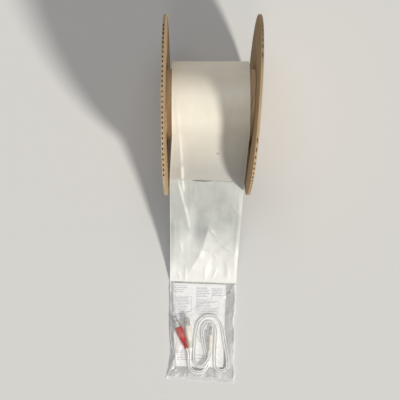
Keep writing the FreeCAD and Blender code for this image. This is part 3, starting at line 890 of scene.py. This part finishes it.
def bagSag(across, along):
    place = (across / mm, along / mm)
    height = foldHeight(bag["sags"], *place) + ripple(bag["sagRipples"], *place)
    return height * mm * fadeAtEnds(along, bag["sagEnds"])


def bagFold(across, along):
    # What the front panel does by itself, never below the back one.
    place = (across / mm, along / mm)
    height = foldHeight(bag["folds"], *place) + bag["slack"] + ripple(bag["foldRipples"], *place)
    sides = ramp(film["halfWidth"] - abs(across), 0, bag["foldSides"])
    middle, halfWidth, lift, reach = bag["mouth"]
    mouth = lift * math.exp(-((place[0] - middle) / halfWidth) ** 4) * (1 - ramp(place[1], 0, reach))
    return (max(0.0, height * fadeAtEnds(along, bag["foldEnds"]) * sides) + mouth) * mm


# Painted light: the flatter film inside the wedge is painted lighter.
def paintedLitFilm(across, along):
    fade = bag["paintedLitFade"]
    inside = fadeIn(across, between(bag["paintedLit"], along, 1), fade["left"])
    inside *= 1 - fadeIn(across, between(bag["paintedLit"], along, 2), fade["right"])
    return bag["paintedLitWhite"] * inside * fadeIn(along, bag["paintedLit"][0][0], fade["top"])


def makeEmptyBag():
    length = film["bagPitch"] - 2 * film["tieGap"]

    def alongBag(share):
        return film["tieGap"] + share * length

    def frontPlace(acrossShare, alongShare):
        spot = (acrossFilm(acrossShare, bag["frontInset"]), alongBag(alongShare))
        return bagPlace(*spot, bag["plyLift"] + bagSag(*spot) + bagFold(*spot))

    def backPlace(acrossShare, alongShare):
        spot = (acrossFilm(acrossShare), alongBag(alongShare))
        return bagPlace(*spot, bagSag(*spot) - bag["plyLift"])

    def pleatAndPaintedLight(acrossShare, alongShare):
        spot = (acrossFilm(acrossShare) / mm, alongBag(alongShare) / mm)
        return max(doubledAndHighlight(bag["pleats"], *spot), paintedLitFilm(*spot))

    back = makeSheet("emptyBagBack", bag["cells"], backPlace)
    thicken(back, bag["plyThickness"])
    front = makeSheet("emptyBagFront", bag["cells"], frontPlace, pleatAndPaintedLight)
    thicken(front, bag["plyThickness"])
    for sheet in (back, front):
        wear(sheet, bagFilm)
    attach(back, "empty_bag")
    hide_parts("empty_bag_back")
    start = bagPlace(0, bag["crease"] - bag["creaseWidth"] / 2, 0)
    end = bagPlace(0, bag["crease"] + bag["creaseWidth"] / 2, 0)
    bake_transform(front)
    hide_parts("empty_bag_front", "mouth_lip")


makeEmptyBag()
print("empty bag hung")


# perforation lines: thin ties between the panels, cut through where the photograph shows an open slit

ties = {
    "reach": 1.2, "cells": (96, 3), "thickness": 0.6 * mm, "sideRoom": 0.3,
    "slotEvery": 4, "slotsFrom": -60,      # cells from one slot to the next, and where they are counted from
    "firstOpen": (-20.5, 37.0), "secondOpen": (-43.0, -29.0),
    "bagHeight": 0.3,                      # of the film at the filled bag's end of the line
}


def makeTies(name, place, openFrom, openTo, bodies):
    pitch = filmWidth / mm / ties["cells"][0]

    def spot(acrossShare, alongShare):
        across = (2 * acrossShare - 1) * (film["halfWidth"] / mm - ties["sideRoom"])
        return Vector((across, (2 * alongShare - 1) * ties["reach"], 0))

    def isOpen(face):
        inMiddle = abs(face.center.y) < ties["reach"] / ties["cells"][1]
        slot = int((face.center.x - ties["slotsFrom"]) / pitch) % ties["slotEvery"] == 0
        return inMiddle and (slot or openFrom < face.center.x < openTo)

    strip = makeSheet(name, ties["cells"], spot)
    cutAway(strip, "FACE", isOpen)
    for vertex in strip.data.vertices:
        vertex.co = place(vertex.co.x * mm, vertex.co.y * mm)
    thicken(strip, ties["thickness"])
    wear(strip, tieFilm)
    before, after = place(0, -film["tieGap"]), place(0, film["tieGap"])
    tuple(before)
    tuple(after)
    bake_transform(strip)
    return strip


def firstLine(across, along):
    if along < 0:
        return webPlace(across, film["leadLength"] + along, 0)
    return bagPlace(across, along, 0)


def secondLine(across, along):
    if along < 0:
        return bagPlace(across, film["bagPitch"] + along, 0)
    return inBag(across / mm * bagWidth(film["bagPitch"]), along / mm, ties["bagHeight"])


firstTies = makeTies("firstTies", firstLine, *ties["firstOpen"], ("web", "empty_bag"))
secondTies = makeTies("secondTies", secondLine, *ties["secondOpen"], ("empty_bag", "filled_bag"))
print("perforations tied", len(firstTies.data.polygons), len(secondTies.data.polygons))


# leaflet, folded once, with plain printed rules

leaflet = {
    "left": -44.6, "width": 78.0, "top": 1.6, "length": 120.9,
    "low": 0.45, "high": 0.85, "cells": (64, 60), "thickness": 0.16 * mm,
    # along, and how far its left edge is drawn in there
    "drawnIn": ((3.5, 0.8), (26, 1.8), (70, 3.8), (95, 6.0), (115, 8.6), (123, 9.0)),
    "foldShare": 0.04,                     # share of the strip that goes round the fold
    "ripples": ((0.05, 0.25, 0.2, 2),), "rippleFrom": 0.2,
    # printed blocks: left, top, width, rows, row pitch, least and most share of the width
    "blocks": (
        (-41, 5, 22, 4, 3.0, 0.6, 1.0), (-41, 22, 24, 9, 2.2, 0.7, 1.0), (-41, 46, 20, 5, 2.2, 0.5, 0.9),
        (-8, 8, 20, 6, 2.4, 0.6, 1.0), (-8, 28, 30, 7, 2.2, 0.6, 1.0), (14, 8, 16, 5, 2.4, 0.5, 0.9),
        (-8, 68, 30, 8, 2.4, 0.6, 1.0), (-41, 100, 60, 6, 2.4, 0.5, 1.0),
    ),
    "frames": ((-9, 6.5, 22, 18), (-9, 26.5, 32, 18), (-42, 20.5, 26, 22)),
    "ruleWidth": 0.7, "frameWidth": 0.35, "inkLift": 0.1,
    "seed": 11, "margin": 2, "dash": (2.0, 6.0), "dashGap": 0.7,
}


def leafletLeft(along):
    return leaflet["left"] + between(leaflet["drawnIn"], along)


def makeLeaflet():
    turn = leaflet["foldShare"]
    radius = (leaflet["high"] - leaflet["low"]) / 2

    def place(acrossShare, alongShare):
        along = leaflet["top"] + alongShare * leaflet["length"]
        left = leafletLeft(along)
        fromFold = acrossShare - 0.5
        if abs(fromFold) <= turn:
            angle = math.pi * (fromFold + turn) / (2 * turn)
            height = leaflet["low"] + radius - radius * math.cos(angle)
            return inBag(left + radius - radius * math.sin(angle), along, height)
        share = (abs(fromFold) - turn) / (0.5 - turn)
        height = leaflet["low"]
        if fromFold > 0:
            lift = ripple(leaflet["ripples"], acrossShare, alongShare)
            height = leaflet["high"] + lift * ramp(share, 0, leaflet["rippleFrom"])
        width = leaflet["left"] + leaflet["width"] - left
        return inBag(left + radius + share * (width - radius), along, height)

    sheet = makeSheet("leafletSheet", leaflet["cells"], place)
    thicken(sheet, leaflet["thickness"])
    placeOn(sheet, leafletPaper, "filled_bag", "leaflet_paper", "leaflet")


def printedBars():
    # left, top, width and height of each printed mark, in millimetres
    random.seed(leaflet["seed"])
    bars = []
    for left, top, width, rows, pitch, least, most in leaflet["blocks"]:
        for row in range(rows):
            end = left + width * random.uniform(least, most)
            start = max(left, leafletLeft(top + row * pitch) + leaflet["margin"])
            while start < end:      # a rule broken into dashes
                dash = min(random.uniform(*leaflet["dash"]), end - start)
                bars.append((start, top + row * pitch, dash, leaflet["ruleWidth"]))
                start += dash + leaflet["dashGap"]
    for left, top, width, height in leaflet["frames"]:
        line = leaflet["frameWidth"]
        bars += [(left, top, width, line), (left, top + height, width, line)]
        bars += [(left, top, line, height), (left + width, top, line, height + line)]
    return bars


def makePrint():
    bars = printedBars()
    marks = newGrid("leafletPrint", 1, len(bars))
    editAll(marks, bpy.ops.mesh.edge_split)
    height = leaflet["high"] + leaflet["inkLift"]
    for face, (left, top, width, depth) in zip(marks.data.polygons, bars):
        corners = [marks.data.vertices[index] for index in face.vertices]
        corners.sort(key=lambda corner: (round(corner.co.y, 6), corner.co.x))
        spots = ((left, top + depth), (left + width, top + depth), (left, top), (left + width, top))
        for corner, (across, along) in zip(corners, spots):
            corner.co = inBag(across, along, height)
    placeOn(marks, printInk, "filled_bag", "leaflet_paper")


makeLeaflet()
makePrint()
print("leaflet folded and printed")


# filled bag: a back panel, a crimped bottom seal, and a front panel dropped over the contents as cloth

pouch = {
    # along the bag, left edge, right edge
    "outline": (
        (0, -48.6, 48.2), (9, -48.4, 48.0), (26, -47.0, 48.3), (37, -46.6, 48.5), (55, -46.0, 46.6),
        (74, -45.6, 48.8), (91, -43.8, 49.5), (104, -40.4, 48.9), (113, -39.2, 47.9), (125, -43.6, 50.0),
        (135, -47.6, 50.5), (143, -48.8, 50.5),
    ),
    "cells": (84, 116),
    "backHeight": 0.14, "frontHeight": 0.55,
    "start": 0.5, "end": 137.4,
    "dome": 13.6, "domeReach": 9.0, "domeWidth": 96,
    "topRoom": 0.9, "topRise": 0.45,   # most height at the top edge, and its rise, so that the fold has room
    "leastRise": 0.01,                 # so that a flat row has a rise to divide by
    "filmThickness": 0.12 * mm, "evening": 0.4,
    "sealStart": 136.9, "sealReach": 6, "sealHeight": 0.42, "sealCells": (110, 14), "sealThickness": 0.3 * mm,
    "crimp": (0.08, 1.1),              # height and pitch
    "sealWaves": ((0.9, 11, 9, 6.5),), "sealLoose": (138, 143),
    "sealEdge": (
        (-50, 140.8), (-28.5, 140.9), (-24, 139.6), (-14, 141.6),
        (15, 143.2), (19, 142.0), (30, 143.4), (50, 143.8),
    ),
}
drop = {
    "frames": 34,
    "simScale": 0.01,                  # one millimetre in the simulation
    "gap": 0.004, "friction": 8, "collisionSteps": 3,
    "cloth": {
        "quality": 7, "mass": 0.4, "air_damping": 3, "tension_stiffness": 40, "compression_stiffness": 40,
        "shear_stiffness": 15, "bending_stiffness": 0.3, "vertex_group_mass": "hem",
    },
    "landsOn": (
        "red_plug_grip", "white_plug_grip", "small_plug_grip",
        "red_plug_shell", "white_plug_shell", "small_plug_sleeve",
    ),
    "cordStepsAlong": 3, "cordStepsRound": 1,
    # the leaflet's face: its cells, half its width, its middle and half its length, and how far it is sunk
    "faceCells": (12, 16), "faceHalfWidth": 60, "faceMiddle": 70, "faceHalfLength": 80, "faceSunk": 0.1,
}


def outlineAt(acrossShare, along):
    left = between(pouch["outline"], along, 1)
    return left + acrossShare * (between(pouch["outline"], along, 2) - left)


def makeBackPanel():
    def place(acrossShare, alongShare):
        along = pouch["start"] + alongShare * (pouch["end"] - pouch["start"])
        return inBag(outlineAt(acrossShare, along), along, pouch["backHeight"])

    panel = makeSheet("filledBagBack", pouch["cells"], place)
    thicken(panel, pouch["filmThickness"])
    placeOn(panel, clearFilm, "filled_bag", "clear_film", "filled_bag_back")


def makeSeal():
    crimpHeight, crimpPitch = pouch["crimp"]

    def place(acrossShare, alongShare):
        across = outlineAt(acrossShare, pouch["sealStart"] + pouch["sealReach"] * alongShare)
        edge = between(pouch["sealEdge"], across)
        along = pouch["sealStart"] + alongShare * (edge - pouch["sealStart"])
        crimp = crimpHeight * math.sin(2 * math.pi * along / crimpPitch)
        wave = max(0.0, ripple(pouch["sealWaves"], across, along)) * ramp(along, *pouch["sealLoose"])
        return inBag(across, along, pouch["sealHeight"] + crimp + wave)

    strip = makeSheet("bottomSeal", pouch["sealCells"], place)
    thicken(strip, pouch["sealThickness"])
    placeOn(strip, sealedFilm, "filled_bag", "clear_film", "bottom_seal")
    return strip


def toSim(point):
    local = bagTurn.inverted() @ (point - bagOrigin) / mm
    return local * drop["simScale"]


def makeContents():
    # Stand-ins that the film lands on: the plugs, the cords and the leaflet's face.
    bodies = []
    for name in drop["landsOn"]:
        mesh = nodes[name].data.copy()
        mesh.transform(nodes[name].matrix_world)
        bodies.append(bpy.data.objects.new("landOn" + name, mesh))
    for cord in (redCord, whiteCord):
        data = cord.data.copy()
        data.bevel_resolution = drop["cordStepsRound"]
        data.resolution_u = drop["cordStepsAlong"]
        curve = bpy.data.objects.new("landOn" + cord.name, data)
        scene.collection.objects.link(curve)
        pick(curve)
        bpy.ops.object.convert(target="MESH")
        bodies.append(bpy.context.object)
    face = newGrid("landOnLeaflet", *drop["faceCells"])
    for vertex in face.data.vertices:
        along = drop["faceMiddle"] - vertex.co.y * drop["faceHalfLength"]
        vertex.co = inBag(vertex.co.x * drop["faceHalfWidth"], along, leaflet["high"] - drop["faceSunk"])
    bodies.append(face)
    for body in bodies:
        if body.name not in scene.collection.all_objects:
            scene.collection.objects.link(body)
        for vertex in body.data.vertices:
            vertex.co = toSim(vertex.co)
        body.modifiers.new("landing", "COLLISION")
        body.collision.thickness_outer = drop["gap"]
        body.collision.cloth_friction = drop["friction"]
    return bodies


def dropFilm(panel, flatPlaces, rowLength):
    # The film keeps its flat size, is held by its hem, and falls over the contents.
    total = len(panel.data.vertices)
    ends = [index for index in range(total) if index < rowLength or index >= total - rowLength]
    sides = [index for index in range(total) if index % rowLength in (0, rowLength - 1)]
    hem = panel.vertex_groups.new(name="hem")
    hem.add(sorted({*ends, *sides}), 1.0, "REPLACE")
    panel.shape_key_add(name="start")
    cut = panel.shape_key_add(name="cut")
    for point, flat in zip(cut.data, flatPlaces):
        point.co = flat
    bodies = makeContents()
    cloth = panel.modifiers.new("cling", "CLOTH")
    setAll(cloth.settings, drop["cloth"])
    cloth.settings.rest_shape_key = cut
    cloth.collision_settings.collision_quality = drop["collisionSteps"]
    cloth.collision_settings.distance_min = drop["gap"]
    cloth.point_cache.frame_end = drop["frames"]
    for frameNumber in range(1, drop["frames"] + 1):
        scene.frame_set(frameNumber)
    pick(panel)
    bpy.ops.object.modifier_apply_as_shapekey(keep_modifier=False, modifier="cling")
    landed = [point.co.copy() for point in panel.data.shape_keys.key_blocks["cling"].data]
    bpy.ops.object.shape_key_remove(all=True)
    for vertex, spot in zip(panel.data.vertices, landed):
        vertex.co = spot
    scene.frame_set(1)
    for body in bodies:
        bpy.data.objects.remove(body)


def lowerTop(panel, rowLength):
    # Brings the film back to the bag's own place, with its top end low enough for the fold.
    low = pouch["frontHeight"]
    points = list(panel.data.vertices)
    for first in range(0, len(points), rowLength):
        row = points[first:first + rowLength]
        spots = [vertex.co / drop["simScale"] for vertex in row]
        along = -sum(spot.y for spot in spots) / rowLength
        room = pouch["topRoom"] + pouch["topRise"] * (along - pouch["start"])
        highest = max(spot.z for spot in spots)
        share = min(1.0, (room - low) / max(pouch["leastRise"], highest - low))
        for vertex, spot in zip(row, spots):
            vertex.co = inBag(spot.x, -spot.y, low + (spot.z - low) * share)


def makeFrontPanel():
    length = pouch["end"] - pouch["start"]
    flatWidth = filmWidth / mm
    rowLength = pouch["cells"][0] + 1
    flatPlaces = []

    def place(acrossShare, alongShare):
        along = pouch["start"] + alongShare * length
        fromSide = min(acrossShare, 1 - acrossShare) * pouch["domeWidth"]
        fromEnd = min(alongShare, 1 - alongShare) * length
        height = pouch["frontHeight"] + pouch["dome"] * ramp(min(fromSide, fromEnd), 0, pouch["domeReach"])
        flatPlaces.append(((acrossShare - 0.5) * flatWidth * drop["simScale"], -along * drop["simScale"], 0))
        return Vector((outlineAt(acrossShare, along), -along, height)) * drop["simScale"]

    panel = makeSheet("filledBagFront", pouch["cells"], place)
    dropFilm(panel, flatPlaces, rowLength)
    lowerTop(panel, rowLength)
    addModifier(panel, "even", "SMOOTH", factor=pouch["evening"], iterations=1)
    addModifier(panel, "finer", "SUBSURF", levels=1, render_levels=1)
    applyAll(panel)
    thicken(panel, pouch["filmThickness"])
    placeOn(panel, clearFilm, "filled_bag", "clear_film", "filled_bag_front")
    return panel


makeBackPanel()
bottomSeal = makeSeal()
filledBagFront = makeFrontPanel()
print("filled bag draped", len(filledBagFront.data.polygons))


# floor, light and finish

stage = {
    "floorColour": (0.70, 0.70, 0.70, 1), "floorRoughness": 0.8, "floorSize": 60, "floorGap": 0.2 * mm,
    "worldColour": (1, 0.99, 0.97, 1), "world": 0.15, "backdrop": 0.66,
    "lampDistance": 2,
    # where each lamp stands, its strength, its spread in degrees and its colour;
    # the key stands where the right flange's shadow on the film puts it
    "keyLamp": ((1, -1.1, 1.08), 2.8, 8, (1, 0.96, 0.88)),
    "frontLamp": ((-0.05, -1, 1.1), 0.2, 14, (1, 0.97, 0.9)),
    "topLamp": ((-0.06, 0.38, 1), 0.72, 40, (0.98, 0.99, 1)),
}
bpy.ops.mesh.primitive_plane_add(size=stage["floorSize"], location=(0, 0, floorHeight - stage["floorGap"]))
floor = bpy.context.object
floor.name = "paleFloor"
wear(floor, newMaterial("paleFloor", Base_Color=stage["floorColour"], Roughness=stage["floorRoughness"])[0])

world = bpy.data.worlds.new("studio")
scene.world = world
world.use_nodes = True
background = world.node_tree.nodes["Background"]
feed(background.inputs["Color"], stage["worldColour"])
rays = addNode(background, "LightPath", {}).outputs      # pale to look at and in reflections, dim as a light
seen = sums("MAXIMUM", rays["Is Camera Ray"], rays["Is Glossy Ray"])
seen = sums("MAXIMUM", seen, rays["Is Transmission Ray"])
feed(background.inputs["Strength"], spread(seen, 0, 1, stage["world"], stage["backdrop"]))

for lampName in ("keyLamp", "frontLamp", "topLamp"):
    direction, strength, spreadAngle, colour = stage[lampName]
    direction = Vector(direction)
    bpy.ops.object.light_add(type="SUN", location=direction.normalized() * stage["lampDistance"])
    lamp = bpy.context.object
    lamp.name = lampName
    lamp.data.energy = strength
    lamp.data.angle = math.radians(spreadAngle)
    lamp.data.color = colour
    lamp.rotation_euler = (-direction).to_track_quat("-Z", "Y").to_euler()
scene.view_settings.view_transform = "Standard"
print("stage set")
